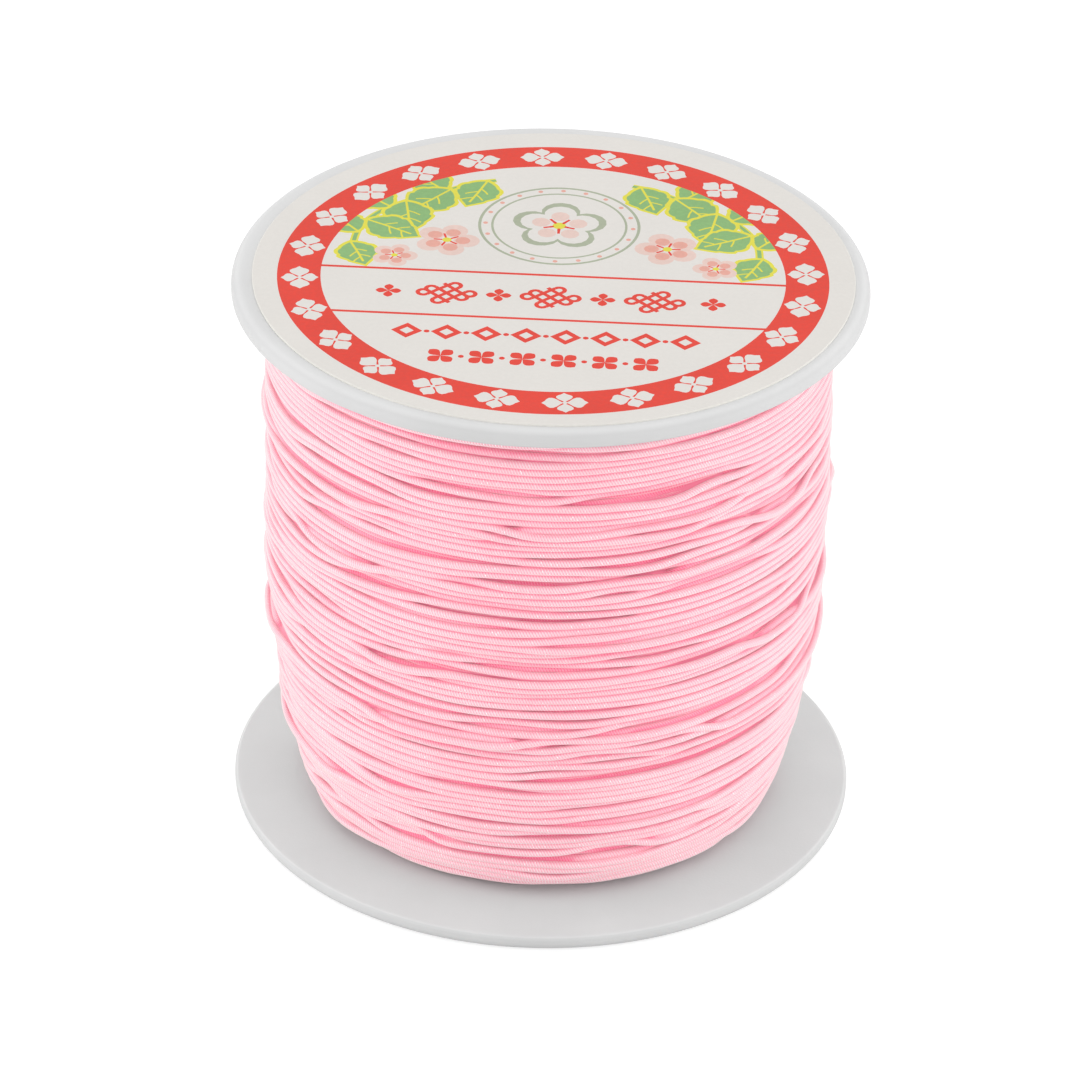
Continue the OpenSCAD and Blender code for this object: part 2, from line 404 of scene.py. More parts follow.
def flange(name, node, upper):
    """One moulded flange: plate, boss and spigot as one turned shape, and its ribs."""
    line = flange_outline()
    r, z = np.array(line).T
    angles = 2 * np.pi * np.arange(FLANGE_STEPS) / FLANGE_STEPS
    wave = np.clip(WARP * np.sin(2 * angles + (1.1 if upper else 2.3)), 0, None)
    outward = np.clip((r - WARP_START) / (FLANGE_R - WARP_START), 0, 1)
    x, y = np.outer(np.cos(angles), r), np.outer(np.sin(angles), r)
    points = np.stack([x, y, z + np.outer(wave, outward ** 2)], -1).reshape(-1, 3).tolist()
    faces = turned_faces(FLANGE_STEPS, len(line))
    for k in range(RIBS):
        rib_points, rib_faces = rib_box(2 * math.pi * k / RIBS)
        faces += [[v + len(points) for v in face] for face in rib_faces]
        points += rib_points
    points = np.array(points)
    if upper:
        points[:, 2] = SPOOL_H - points[:, 2]
        faces = [face[::-1] for face in faces]
    piece = mesh_object(name, points, faces, [plastic])
    sharpen(piece, SHARP_DEGREES)
    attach(piece, "root")
    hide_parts(node)


flange("flange_bottom", "lower_flange", upper=False)
flange("flange_top", "upper_flange", upper=True)

barrel = nodes["barrel"]
barrel.data.materials.clear()
barrel.data.materials.append(plastic)
weld = barrel.modifiers.new("weld", "WELD")
weld.merge_threshold = 0.001 * MM


# ---------------------------------------------------------------- the winding

CORD_R = 0.26
# Under its neighbours' pull the soft cord lies a little flat
CORD_OUT, CORD_ALONG = 0.25, 0.268
WINDING_R = 19.0
SHOULDER_DROP, SHOULDER_LOW, SHOULDER_HIGH = 1.4, 3.0, 18.0
FOOT_DEPTH, FOOT_H, FOOT_POWER = 2.3, 7.5, 1.6
# Where a turn ends and the next begins, which is at the back
SEAM = math.pi / 2

# The winding's surface is kept as heights over the line through the centres of the outermost
# turns: a row for each step round the spool, and cells along the line with some to spare
TURN_STEPS = 168
CELL = 0.04
PAD = 20
# The height from which the laid layers start. Turns press against the flanges, so the layers
# below are higher there, by this much and over this width
START_HEIGHT, BANK_HEIGHT, BANK_WIDTH = -2.14, 0.9, 1.1

# Distance between the turns of a layer in an even traverse
PITCH = 0.55
# How many cells a turn may lie to either side of its even place. A millimetre to the side,
# or of bend in one step, costs as much as lying this many millimetres higher
DRIFT_CELLS, DRIFT_COST, BEND_COST = 12, 0.8, 0.8
# Sway of the traverse: how many steps each wave of it takes, and its size
SWAYS = ((60, 0.09), (600, 0.15))
# Slips of the traverse: how many steps each is held, its size, and its smoothing in steps
SLIP_STRETCH, SLIP_SIZE, SLIP_SIGMA = 30, 0.125, 1.5
# Share of the cord's radius that rests on what is below, as soft cords sink in a little
CONTACT = 0.9
# Steps over which a laid path is smoothed, and how far into the turn before that reaches
PATH_SIGMA, PATH_OVERLAP = 1.6, 8
# How many cells away a neighbour still hides a place
HORIZON_CELLS = 25
# How far each layer stops short of the lower and the upper flange
TURN_BACK = [(0.1, 0.0), (0.3, 0.2), (0.0, 0.0), (0.25, 0.1), (0.05, 0.0)]
# How many of them are laid for their surface only, because they are too deep to be seen
BURIED_LAYERS = 2
# How winding_body follows the surface: cells to either side over which slits are closed and
# then steep sides are taken back, and how far it lies below
FILL_CLOSE, FILL_TAKE_BACK, FILL_DROP = 1, 3, 0.08

TUBE_SIDES = 8
RING = 2 * np.pi * np.arange(TUBE_SIDES) / TUBE_SIDES


def winding_r(h):
    """The full winding's radius at height h above the lower flange."""
    t = np.clip((h - SHOULDER_LOW) / (SHOULDER_HIGH - SHOULDER_LOW), 0, 1)
    u = np.clip(1 - h / FOOT_H, 0, 1)
    foot = FOOT_DEPTH * (1 - (1 - u ** FOOT_POWER) ** (1 / FOOT_POWER))
    return WINDING_R - SHOULDER_DROP * (1 - t * t * (3 - 2 * t)) - foot


class Profile:
    """The line through the centres of the outermost turns, by its length from the lower flange."""

    def __init__(self):
        h = FOOT_H * (1 - np.cos(np.linspace(0, np.pi / 2, 60)))
        h = np.concatenate([h, np.linspace(FOOT_H, BARREL_L, 300)[1:]])
        r, z = winding_r(h), FLANGE_T + h
        dr, dz = np.gradient(r), np.gradient(z)
        size = np.hypot(dr, dz)
        nr, nz = dz / size, -dr / size
        r, z = r - CORD_R * nr, z - CORD_R * nz
        room = CORD_R + 0.01
        keep = (z > FLANGE_T + room) & (z < SPOOL_H - FLANGE_T - room)
        self.r, self.z, self.nr, self.nz = r[keep], z[keep], nr[keep], nz[keep]
        steps = np.hypot(np.diff(self.r), np.diff(self.z))
        self.s = np.concatenate([[0], np.cumsum(steps)])
        self.length = self.s[-1]

    def place(self, s, height):
        """Radius and z of a point at length s, that far outside the line."""
        r, z, nr, nz = (np.interp(s, self.s, a) for a in (self.r, self.z, self.nr, self.nz))
        return r + height * nr, z + height * nz


def soften(values, sigma):
    """The values smoothed by a bell curve of that many steps."""
    reach = int(3 * sigma) + 1
    weights = np.exp(-0.5 * (np.arange(-reach, reach + 1) / sigma) ** 2)
    padded = np.pad(values, reach, mode="edge")
    return np.convolve(padded, weights / weights.sum(), mode="valid")


def wander(random, count, spacing, size):
    """Smooth noise along the cord, with its knots that many steps apart."""
    knots = random.normal(0, 1, int(count / spacing) + 4)
    t = np.arange(count) / spacing
    i = t.astype(int)
    f = t - i
    f = f * f * (3 - 2 * f)
    return size * (knots[i] * (1 - f) + knots[i + 1] * f)


def slips(random, count, stretch, size, sigma):
    """Steps to one side or the other, each held for a stretch of the cord and reached within
    a few millimetres."""
    places = np.cumsum(random.exponential(stretch, int(3 * count / stretch) + 8))
    values = random.normal(0, size, len(places) + 1)
    return soften(values[np.searchsorted(places, np.arange(count))], sigma)


def press(surface, rows, s, height):
    """Raises the surface to the top of the cord that has been laid on it."""
    half = int(CORD_R / CELL)
    middle = np.round(s / CELL).astype(int) + PAD
    for step in range(-half, half + 1):
        cell = middle + step
        across = (cell - PAD) * CELL - s
        top = height + np.sqrt(np.clip(CORD_R ** 2 - across ** 2, 0, None))
        inside = np.abs(across) < CORD_R
        np.maximum.at(surface, (rows[inside], cell[inside]), top[inside])


def best_offsets(rest, offsets, last):
    """For each step of a turn, which offset from the even traverse makes the whole turn lie
    lowest, without drifting far or bending sharply. The turn goes on from the offset last."""
    count = len(rest)
    cost = rest + DRIFT_COST * (offsets * CELL) ** 2
    moves = BEND_COST * ((offsets[:, None] - offsets[None, :]) * CELL) ** 2
    total = cost[0] + BEND_COST * ((offsets - last) * CELL) ** 2
    back = np.zeros((count, len(offsets)), int)
    for i in range(1, count):
        ways = total[None, :] + moves
        back[i] = ways.argmin(1)
        total = ways[np.arange(len(offsets)), back[i]] + cost[i]
    choice = np.zeros(count, int)
    best = int(total.argmin())
    for i in range(count - 1, -1, -1):
        choice[i] = best
        best = back[i, best]
    return choice


def lay(surface, random, start, end, length):
    """Winds one layer from start to end over the surface. Each turn settles where the layer
    below lets it lie lowest, near its place in an even traverse. Returns the layer's path, as
    length up the profile and height over it."""
    count = int(round(abs(end - start) / PITCH * TURN_STEPS)) + 1
    step = np.arange(count)
    even = start + np.sign(end - start) * PITCH * step / TURN_STEPS
    # The sway dies away over the first and the last one and a half turns
    ends = np.minimum(1, np.minimum(step, count - 1 - step) / (1.5 * TURN_STEPS))
    sway = sum(wander(random, count, spacing, size) for spacing, size in SWAYS)
    sway = sway + slips(random, count, SLIP_STRETCH, SLIP_SIZE, SLIP_SIGMA)
    even = np.clip(even + ends * sway, 0, length)
    contact = CONTACT * CORD_R
    half = int(contact / CELL)
    disc = np.arange(-half, half + 1)
    disc_top = np.sqrt(contact ** 2 - (disc * CELL) ** 2)
    offsets = np.arange(-DRIFT_CELLS, DRIFT_CELLS + 1)
    middle = np.round(even / CELL).astype(int) + PAD
    s, height = np.zeros(count), np.zeros(count)
    last = 0
    for a in range(0, count, TURN_STEPS):
        b = min(a + TURN_STEPS, count)
        rows = np.arange(a, b) % TURN_STEPS
        cells = np.clip(middle[a:b, None] + offsets, half, surface.shape[1] - 1 - half)
        under = surface[rows[:, None, None], cells[:, :, None] + disc]
        rest = (under + disc_top).max(-1)
        choice = best_offsets(rest, offsets, last)
        s[a:b] = even[a:b] + offsets[choice] * CELL
        height[a:b] = rest[np.arange(b - a), choice]
        before = max(0, a - PATH_OVERLAP)
        new_s = soften(s[before:b], PATH_SIGMA)[a - before:]
        new_height = soften(height[before:b], PATH_SIGMA)[a - before:]
        press(surface, rows, new_s, new_height)
        last = offsets[choice[-1]]
    return soften(s, PATH_SIGMA), soften(height, PATH_SIGMA)


def hidden_share(surface, rows, s, height):
    """How much of the space over places of the winding the turns beside them take up, 0 to 1."""
    middle = s / CELL + PAD
    hidden = np.zeros(s.shape)
    for side in (1, -1):
        steepest = np.zeros(s.shape)
        for reach in range(1, HORIZON_CELLS + 1):
            cell = np.round(middle + side * reach).astype(int)
            rise = surface[rows, np.clip(cell, 0, surface.shape[1] - 1)] - height
            steepest = np.maximum(steepest, rise / (reach * CELL))
        hidden += 0.5 * steepest / np.sqrt(1 + steepest ** 2)
    return hidden


def paint_depth(piece, values):
    """Keeps a value for each vertex as the attribute "depth"."""
    layer = piece.data.attributes.new("depth", "FLOAT", "POINT")
    layer.data.foreach_set("value", values.astype(np.float32).ravel())


def tube_grid(rings):
    """The number of the ring and of the side of each quad of a tube."""
    grid = np.meshgrid(np.arange(rings), np.arange(TUBE_SIDES), indexing="ij")
    return grid[0].ravel(), grid[1].ravel()


def tube_points(centres, out, up, half_out, half_up):
    """Oval rings round the centres, by two directions across the cord and its half widths."""
    out_part = half_out * np.cos(RING)[None, :, None] * out[:, None, :]
    up_part = half_up * np.sin(RING)[None, :, None] * up[:, None, :]
    return (centres[:, None, :] + out_part + up_part).reshape(-1, 3)


def tube_faces(count, closed=False):
    """Quads between a tube's rings, and a cap on each end unless the tube is closed on itself."""
    i, j = tube_grid(count if closed else count - 1)
    here, after = i * TUBE_SIDES, (i + 1) % count * TUBE_SIDES
    k = (j + 1) % TUBE_SIDES
    quads = np.stack([here + j, after + j, after + k, here + k], -1).tolist()
    if closed:
        return quads
    points = list(range(count * TUBE_SIDES))
    return [*quads, points[:TUBE_SIDES], points[:-TUBE_SIDES - 1:-1]]


def paint_uv(piece, name, u0, u1, v0, v1):
    """A UV map that gives the quads at the start of the mesh these rectangles."""
    corners = [np.stack(corner, -1) for corner in ((u0, v0), (u1, v0), (u1, v1), (u0, v1))]
    quads = np.stack(corners, 1).reshape(-1, 2)
    uv = np.zeros((len(piece.data.loops), 2), np.float32)
    uv[:len(quads)] = quads
    piece.data.uv_layers.new(name=name).data.foreach_set("uv", uv.ravel())


def cord_layer(name, path, heights, profile, surface, length_before):
    """The cord of one layer. Returns the cord's length up to the layer's end."""
    count = len(path)
    r, z = profile.place(path, heights)
    z = np.clip(z, FLANGE_T + CORD_R, SPOOL_H - FLANGE_T - CORD_R)
    angle = SEAM + 2 * np.pi * np.arange(count) / TURN_STEPS
    centre = np.stack([r * np.cos(angle), r * np.sin(angle), z], -1)
    forward = unit(np.gradient(centre, axis=0))
    out = np.stack([np.cos(angle), np.sin(angle), np.zeros(count)], -1)
    up = unit(np.cross(out, forward))
    points = tube_points(centre, np.cross(forward, up), up, CORD_OUT, CORD_ALONG)
    piece = mesh_object(name, points, tube_faces(count), [cord_pink])
    rows = np.arange(count)[:, None] % TURN_STEPS
    ring_s = path[:, None] + CORD_ALONG * np.sin(RING)
    ring_height = heights[:, None] + CORD_R * np.cos(RING)
    # Painted shade: how much the neighbouring turns hide a place sets how deep a shade is painted
    # there
    paint_depth(piece, hidden_share(surface, rows, ring_s, ring_height))
    steps = np.linalg.norm(np.diff(centre, axis=0), axis=1)
    length = length_before + np.concatenate([[0], np.cumsum(steps)])
    i, j = tube_grid(count - 1)
    paint_uv(piece, "cord", length[i], length[i + 1], j / TUBE_SIDES, (j + 1) / TUBE_SIDES)
    # For baking, each turn has a strip of its own, with a margin
    turns = math.ceil((count - 1) / TURN_STEPS)
    turn, across = i // TURN_STEPS, (i % TURN_STEPS) / TURN_STEPS
    margin = 0.05
    strip = (1 - 2 * margin) / TUBE_SIDES
    low, high = turn + margin + strip * j, turn + margin + strip * (j + 1)
    paint_uv(piece, "OFBake", across, across + 1 / TURN_STEPS, low / turns, high / turns)
    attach(piece, "root")
    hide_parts("winding_turns")
    return length[-1]


def spread(surface, reach, pick):
    """The highest or the lowest value within that many cells on either side."""
    wide = np.pad(surface, ((0, 0), (reach, reach)), mode="edge")
    result = surface
    for shift in range(2 * reach + 1):
        result = pick(result, wide[:, shift:shift + surface.shape[1]])
    return result


def winding_body(surface, profile):
    """The inner layers as one closed shape. Soft cords leave no deep slit between them, so the
    shape also fills the bottom of the grooves of the outer layer."""
    gap, end_cells = 0.02, 4
    across = np.arange(0, profile.length, 2 * CELL)
    cells = np.round(across / CELL).astype(int)
    cells = np.clip(cells, end_cells, int(profile.length / CELL) - end_cells) + PAD
    closed = spread(surface, FILL_CLOSE, np.maximum)
    filled = spread(closed, FILL_TAKE_BACK, np.minimum) - FILL_DROP
    r, z = profile.place(across[None, :], filled[:, cells])
    bottom, top = FLANGE_T + gap, SPOOL_H - FLANGE_T - gap
    # At the top the shape goes up to the flange, so that no turn leaves a hole under it
    inner = np.full((TURN_STEPS, 1), BARREL_R + gap)
    r = np.concatenate([inner, r, r[:, -1:] - 0.1, inner], 1)
    low, high = np.full((TURN_STEPS, 1), bottom), np.full((TURN_STEPS, 2), top)
    z = np.concatenate([low, np.clip(z, bottom, top), high], 1)
    angle = (SEAM + 2 * np.pi * np.arange(TURN_STEPS) / TURN_STEPS)[:, None]
    points = np.stack([r * np.cos(angle), r * np.sin(angle), z], -1).reshape(-1, 3)
    faces = turned_faces(TURN_STEPS, r.shape[1])
    piece = mesh_object("winding_body", points, faces, [cord_pink])
    # Painted shade: the whole body lies between the turns, so all of it gets the recesses' painted
    # shade
    paint_depth(piece, np.ones(len(points)))
    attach(piece, "root")
    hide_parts("winding_core")


def start_surface(length):
    """The surface of the layers that aren't laid one by one."""
    up = (np.arange(int(length / CELL) + 2 * PAD + 1) - PAD) * CELL
    at_lower, at_upper = (np.exp(-(d / BANK_WIDTH) ** 2) for d in (up, length - up))
    return np.tile(START_HEIGHT + BANK_HEIGHT * (at_lower + at_upper), (TURN_STEPS, 1))


def winding():
    """Lays the outer layers over one another and makes the pieces of the winding."""
    profile = Profile()
    random = np.random.default_rng(7)
    surface = start_surface(profile.length)
    laid = []
    for index, (low, high) in enumerate(TURN_BACK):
        start, end = low, profile.length - high
        if index % 2:
            start, end = end, start
        laid.append(lay(surface, random, start, end, profile.length))
    winding_body(surface, profile)
    length = 0.0
    for index, (path, heights) in enumerate(laid[BURIED_LAYERS:]):
        length = cord_layer(f"cord_layer_{index + 1}", path, heights, profile, surface, length)


winding()


# ---------------------------------------------------------------- the cord's inner end

KNOT_Z = FLANGE_T + 11.0
KNOT_R = 0.75
KNOT_CORD_R = 0.22
# Half widths of the knot's own loop, across and along the cord that comes out of it
KNOT_WIDE, KNOT_DEEP = 0.46, 0.2


def cord_knot():
    """The stopper knot behind the barrel's wall and the cord through its hole."""
    # Knot and cord are made along +Z and then laid along +Y, which is outwards through the hole
    clearance = 0.02
    centre_y = BARREL_IN - clearance - KNOT_R
    t = np.linspace(0, 2 * np.pi, 73)[:-1]
    x = (np.sin(t) + 2 * np.sin(2 * t)) / 3
    y = (np.cos(t) - 2 * np.cos(2 * t)) / 3
    loop = np.stack([KNOT_WIDE * x, KNOT_WIDE * y, -KNOT_DEEP * np.sin(3 * t)], -1)
    straight = np.zeros((9, 3))
    straight[:, 2] = np.linspace(0.0, BARREL_R - centre_y, 9)
    points, faces = [], []
    for line, radius, closed in ((loop, KNOT_CORD_R, True), (straight, CORD_R, False)):
        if closed:
            forward = unit(np.roll(line, -1, 0) - np.roll(line, 1, 0))
        else:
            forward = unit(np.gradient(line, axis=0))
        side = unit(np.cross(forward, [0.3, 0.9, 0.1]))
        other = np.cross(forward, side)
        # These faces look inwards until the shape is laid along +Y, which mirrors it
        faces += [[v + len(points) for v in face] for face in tube_faces(len(line), closed)]
        points += tube_points(line, side, other, radius, radius).tolist()
    points = np.array(points)[:, [0, 2, 1]] + (0, centre_y, KNOT_Z)
    piece = mesh_object("cord_knot", points, faces, [cord_pink])
    loops = np.zeros(len(piece.data.loops), np.int32)
    piece.data.loops.foreach_get("vertex_index", loops)
    uv = np.stack([points[loops, 0] + points[loops, 1], points[loops, 2]], -1)
    layer = piece.data.uv_layers.new(name="cord")
    layer.data.foreach_set("uv", uv.astype(np.float32).ravel())
    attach(piece, "root")
    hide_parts("cord_start")


cord_knot()


# ---------------------------------------------------------------- figures of the print

# Each ink's material and colour, and how much darker the fibres make it in places
INKS = {
    "paper": ("label_paper", (0.752, 0.725, 0.688), 0.04),
    "red": ("ink_red", (0.80, 0.066, 0.044), 0.12),
    "pale_red": ("ink_pale_red", (0.80, 0.40, 0.33), 0.1),
    "blush": ("ink_blush", (0.80, 0.60, 0.54), 0.08),
    "green": ("ink_green", (0.27, 0.485, 0.195), 0.12),
    "yellow": ("ink_yellow", (0.77, 0.71, 0.075), 0.08),
    "olive": ("ink_olive", (0.42, 0.46, 0.34), 0.1),
}
LABEL_EDGE = ("label_edge", (0.76, 0.745, 0.70), 0.06)

FLORET_PETAL = [
    (0.07, 0), (0.20, 0.13), (0.36, 0.32), (0.52, 0.42),
    (0.66, 0.42), (0.77, 0.31), (0.84, 0.17), (1.0, 0),
]
LOZENGE = np.array([(1.02, 0), (0, 0.98), (-1.02, 0), (0, -0.98)])


class Print:
    """The shapes of the printed design, in the order they are laid over one another. Those
    added after the border is done show inside it only."""

    def __init__(self):
        self.shapes = []
        self.border_shapes = 0

    def add(self, ink, points):
        points = np.asarray(points, float)
        x, y = points.T
        clockwise = (x * np.roll(y, -1) - y * np.roll(x, -1)).sum() < 0
        self.shapes.append((list(INKS).index(ink), points[::-1 if clockwise else 1]))

    def border_done(self):
        self.border_shapes = len(self.shapes)


def circle(x, y, r, steps):
    a = 2 * np.pi * np.arange(steps) / steps
    return np.stack([x + r * np.cos(a), y + r * np.sin(a)], -1)


def moved(points, x, y, degrees=0.0, scale=1.0):
    a = math.radians(degrees)
    turn = np.array([[math.cos(a), math.sin(a)], [-math.sin(a), math.cos(a)]])
    return scale * np.asarray(points) @ turn + (x, y)


def band(points, width):
    """A line of that width through the points, as a closed outline."""
    p = np.asarray(points, float)
    along = unit(np.gradient(p, axis=0))
    side = np.stack([-along[:, 1], along[:, 0]], -1) * width / 2
    return np.concatenate([p + side, (p - side)[::-1]])


def smooth_line(points, steps=6):
    """A curve through the points (Catmull-Rom)."""
    p = np.asarray(points, float)
    p = np.concatenate([[2 * p[0] - p[1]], p, [2 * p[-1] - p[-2]]])
    line = []
    for a, b, c, d in zip(p, p[1:], p[2:], p[3:]):
        once, squared, cubed = c - a, 2 * a - 5 * b + 4 * c - d, 3 * b - a - 3 * c + d
        for t in np.arange(steps) / steps:
            line.append(0.5 * (2 * b + once * t + squared * t * t + cubed * t ** 3))
    return np.array([*line, p[-2]])


def part_below(points, line_y):
    """The part of an outline under the line y = line_y."""
    kept = []
    for a, b in zip(points, np.roll(points, -1, 0)):
        a_in, b_in = a[1] <= line_y, b[1] <= line_y
        if a_in:
            kept.append(a)
        if a_in != b_in:
            kept.append(a + (line_y - a[1]) / (b[1] - a[1]) * (b - a))
    return np.array(kept)


def petal(length, width, steps=9):
    """A petal along +X from the origin, widest past its middle."""
    t = np.linspace(0, 1, steps)
    x, y = length * t, width / 2 * np.sin(np.pi * t ** 1.35) ** 0.8
    lower = np.stack([x[::-1], -y[::-1]], -1)[1:-1]
    return np.concatenate([np.stack([x, y], -1), lower])


def quatrefoil(sheet, x, y, degrees, length, width):
    """Four petals round a point."""
    for k in range(4):
        sheet.add("red", moved(petal(length, width), x, y, degrees + 90 * k))


def floret(sheet, x, y, degrees, across, along):
    """A traditional four-petalled floret, as woven and printed borders have."""
    upper = np.array(FLORET_PETAL)
    outline = np.concatenate([upper, (upper * (1, -1))[-2:0:-1]])
    for k in range(4):
        size = across if k % 2 else along
        sheet.add("paper", moved(outline, x, y, degrees + 90 * k, size))
    sheet.add("paper", circle(x, y, 0.11 * across, 8))


def knot_figure(sheet, x, y, step, width):
    """The traditional endless knot: three lines each way, looped into one another at their ends."""
    reach, bow = 1.5 * step, 0.5 * step
    lines = [[(-reach, k * step), (reach, k * step)] for k in (-1, 0, 1)]
    turn = np.linspace(-np.pi / 2, np.pi / 2, 9)
    for side in (1, -1):
        loop = [side * (reach + bow * np.cos(turn)), side * 0.5 * step + bow * np.sin(turn)]
        lines.append(np.stack(loop, -1))
    for line in lines:
        for quarter in (0, 90):
            sheet.add("red", moved(band(line, width), x, y, 45 + quarter))
    corner = np.linspace(-np.pi / 2, np.pi, 13)
    ear = np.stack([reach + bow * np.cos(corner), reach + bow * np.sin(corner)], -1)
    for half in (0, 180):
        sheet.add("red", moved(band(ear, width), x, y, 135 + half))


def blossom(sheet, x, y, size, outer, inner, turn):
    """A plain five-petalled plum blossom."""
    fifths = [turn + 72 * k for k in range(5)]
    for angle in fifths:
        sheet.add(outer, moved(circle(0.62, 0, 0.42, 14), x, y, angle, size))
    for angle in fifths:
        sheet.add(inner, moved(circle(0.5, 0, 0.24, 10), x, y, angle, size))
    stamen = band([(0.1, 0), (0.26, 0), (0.42, 0)], 0.07)
    for angle in fifths:
        sheet.add("red", moved(stamen, x, y, angle + 36, size))
    sheet.add("yellow", circle(x, y, 0.15 * size, 10))


def leaf(length, width, teeth=4, steps=5):
    """A toothed leaf along +X."""
    upper = []
    for k in range(teeth):
        for q in range(steps):
            t = (k + q / steps) / teeth
            bulge = math.sin(math.pi * t ** 0.8) * (1 - 0.16 * (q / steps) ** 2)
            upper.append((length * t, width / 2 * bulge))
    upper = np.array(upper)
    lower = (upper * (1, -1))[::-1][:-1]
    return np.concatenate([upper, [(length, 0)], lower])


def edged_leaf(sheet, x, y, degrees, length, width):
    """A green leaf with a yellow rim and yellow veins."""
    rim = 0.28
    outline = leaf(length, width)
    middle = np.array([length / 2, 0])
    swell = (outline - middle) * (1 + 2 * rim / length, 1 + 2 * rim / width) + middle
    sheet.add("yellow", moved(swell, x, y, degrees))
    sheet.add("green", moved(outline, x, y, degrees))
    rib = [(0, 0), (length * 0.45, 0.03), (length * 0.86, 0)]
    sheet.add("yellow", moved(band(rib, 0.16), x, y, degrees))
    # Where each vein leaves the middle rib, as a share of the length, and to which side
    for t, side in ((0.3, 1), (0.42, -1), (0.55, 1), (0.66, -1)):
        vein = [(t, 0), (t + 0.07, side * 0.13), (t + 0.16, side * 0.25)]
        vein = [(length * a, width * b) for a, b in vein]
        sheet.add("yellow", moved(band(vein, 0.12), x, y, degrees))


def roundel(sheet, x, y, r):
    """A ring of two fine lines, with dots between them."""
    for radius, line, steps in ((r, 0.2, 72), (r * 0.84, 0.16, 64)):
        sheet.add("olive", circle(x, y, radius, steps))
        sheet.add("paper", circle(x, y, radius - line, steps))
    for dot_x, dot_y in circle(x, y, 0.91 * r, 20):
        sheet.add("pale_red", circle(dot_x, dot_y, 0.17, 8))


def lozenge(sheet, x, y):
    sheet.add("red", LOZENGE + (x, y))
    sheet.add("paper", LOZENGE * 0.45 + (x, y))


# ---------------------------------------------------------------- the label

label_low, label_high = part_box("upper_label")
LABEL_X, LABEL_Y = (label_low.x + label_high.x) / 2 / MM, (label_low.y + label_high.y) / 2 / MM
LABEL_R = (label_high.x - label_low.x) / 2 / MM
LABEL_T = (label_high.z - label_low.z) / MM
LABEL_STEPS = 192
LABEL_BEVEL, LABEL_BEVEL_DEPTH = 0.05, 0.03
# The print sits a little off the paper's middle and askew
PRINT_X, PRINT_Y, PRINT_DEGREES = -0.04, -0.35, -2.8

BORDER_OUT, BORDER_IN = 18.10, 15.25
FLORETS, FLORET_R, FLORET_START = 24, 16.62, 5.9
# The right-hand spray; the left-hand one mirrors it
SPRAY_STEM = [
    (4.6, 12.9), (6.0, 12.4), (7.8, 11.2), (9.8, 9.9), (11.9, 8.0), (13.2, 5.4), (13.5, 2.2),
]
# Each leaf's foot, direction in degrees, length and width
SPRAY_LEAVES = [
    (8.0, 11.2, 48, 3.6, 2.8), (11.4, 8.6, 42, 3.4, 2.6), (13.3, 5.0, 52, 3.0, 2.4),
    (5.2, 12.7, -72, 3.7, 2.9), (7.6, 11.3, -52, 4.3, 3.3), (10.4, 9.4, -98, 4.2, 3.2),
    (12.7, 6.6, -150, 4.0, 3.0), (13.6, 3.4, -112, 3.2, 2.6),
]
SPRAY_BLOSSOMS = [(7.3, 4.3, 2.1), (10.6, 1.9, 1.5)]
ROUNDEL_Y, ROUNDEL_R = 6.9, 5.4
RULE_TOP, RULE_LOW, RULE_HALF_WIDTH = 0.05, -5.9, 0.13
KNOT_ROW_Y = -2.93


def border(sheet):
    sheet.add("red", circle(0, 0, BORDER_OUT, 160))
    sheet.add("paper", circle(0, 0, BORDER_IN, 144))
    for k in range(FLORETS):
        degrees = FLORET_START + 360 / FLORETS * k
        a = math.radians(degrees)
        floret(sheet, FLORET_R * math.cos(a), FLORET_R * math.sin(a), degrees, 1.5, 1.24)
    sheet.border_done()


def spray(sheet, side):
    """A stem with leaves and two blossoms, on the right (side 1) or on the left (side -1)."""
    stem = smooth_line([(side * x, y) for x, y in SPRAY_STEM])
    sheet.add("yellow", band(stem, 0.55))
    sheet.add("green", band(stem, 0.28))
    for x, y, degrees, length, width in SPRAY_LEAVES:
        edged_leaf(sheet, side * x, y, degrees if side > 0 else 180 - degrees, length, width)
    for x, y, size in SPRAY_BLOSSOMS:
        blossom(sheet, side * x, y, size, "blush", "pale_red", 18 + 20 * side)


def dotted_row(sheet, y, half, count, figure):
    """A row of figures with dots between them."""
    half_gap = half / (count - 1)
    for k in range(count):
        x = -half + 2 * half * k / (count - 1)
        figure(x, y)
        if k < count - 1:
            sheet.add("red", circle(x + half_gap, y, 0.2, 8))


def design():
    """The whole print, in millimetres from its middle."""
    sheet = Print()
    border(sheet)
    spray(sheet, 1)
    spray(sheet, -1)
    roundel(sheet, 0.0, ROUNDEL_Y, ROUNDEL_R)
    blossom(sheet, 0.0, ROUNDEL_Y, 3.1, "olive", "paper", 18)
    blossom(sheet, 0.0, ROUNDEL_Y, 2.6, "paper", "blush", 18)
    # Under the sprays the field is plain again, with two rules and rows of ornaments
    sheet.add("paper", part_below(circle(0, 0, BORDER_IN, 144), RULE_TOP))
    for y in (RULE_TOP, RULE_LOW):
        half = math.sqrt(BORDER_IN ** 2 - y ** 2) + 0.1
        low, high = y - RULE_HALF_WIDTH, y + RULE_HALF_WIDTH
        sheet.add("red", [(-half, low), (half, low), (half, high), (-half, high)])
    for x in (-6.8, 0.0, 6.8):
        knot_figure(sheet, x, KNOT_ROW_Y, 0.72, 0.3)
    for x in (-10.6, -3.4, 3.4, 10.6):
        quatrefoil(sheet, x, KNOT_ROW_Y, 0, 0.85, 0.62)
    dotted_row(sheet, -8.1, 9.0, 8, lambda x, y: lozenge(sheet, x, y))
    dotted_row(sheet, -11.2, 6.6, 6, lambda x, y: quatrefoil(sheet, x, y, 45, 1.05, 0.8))
    return sheet


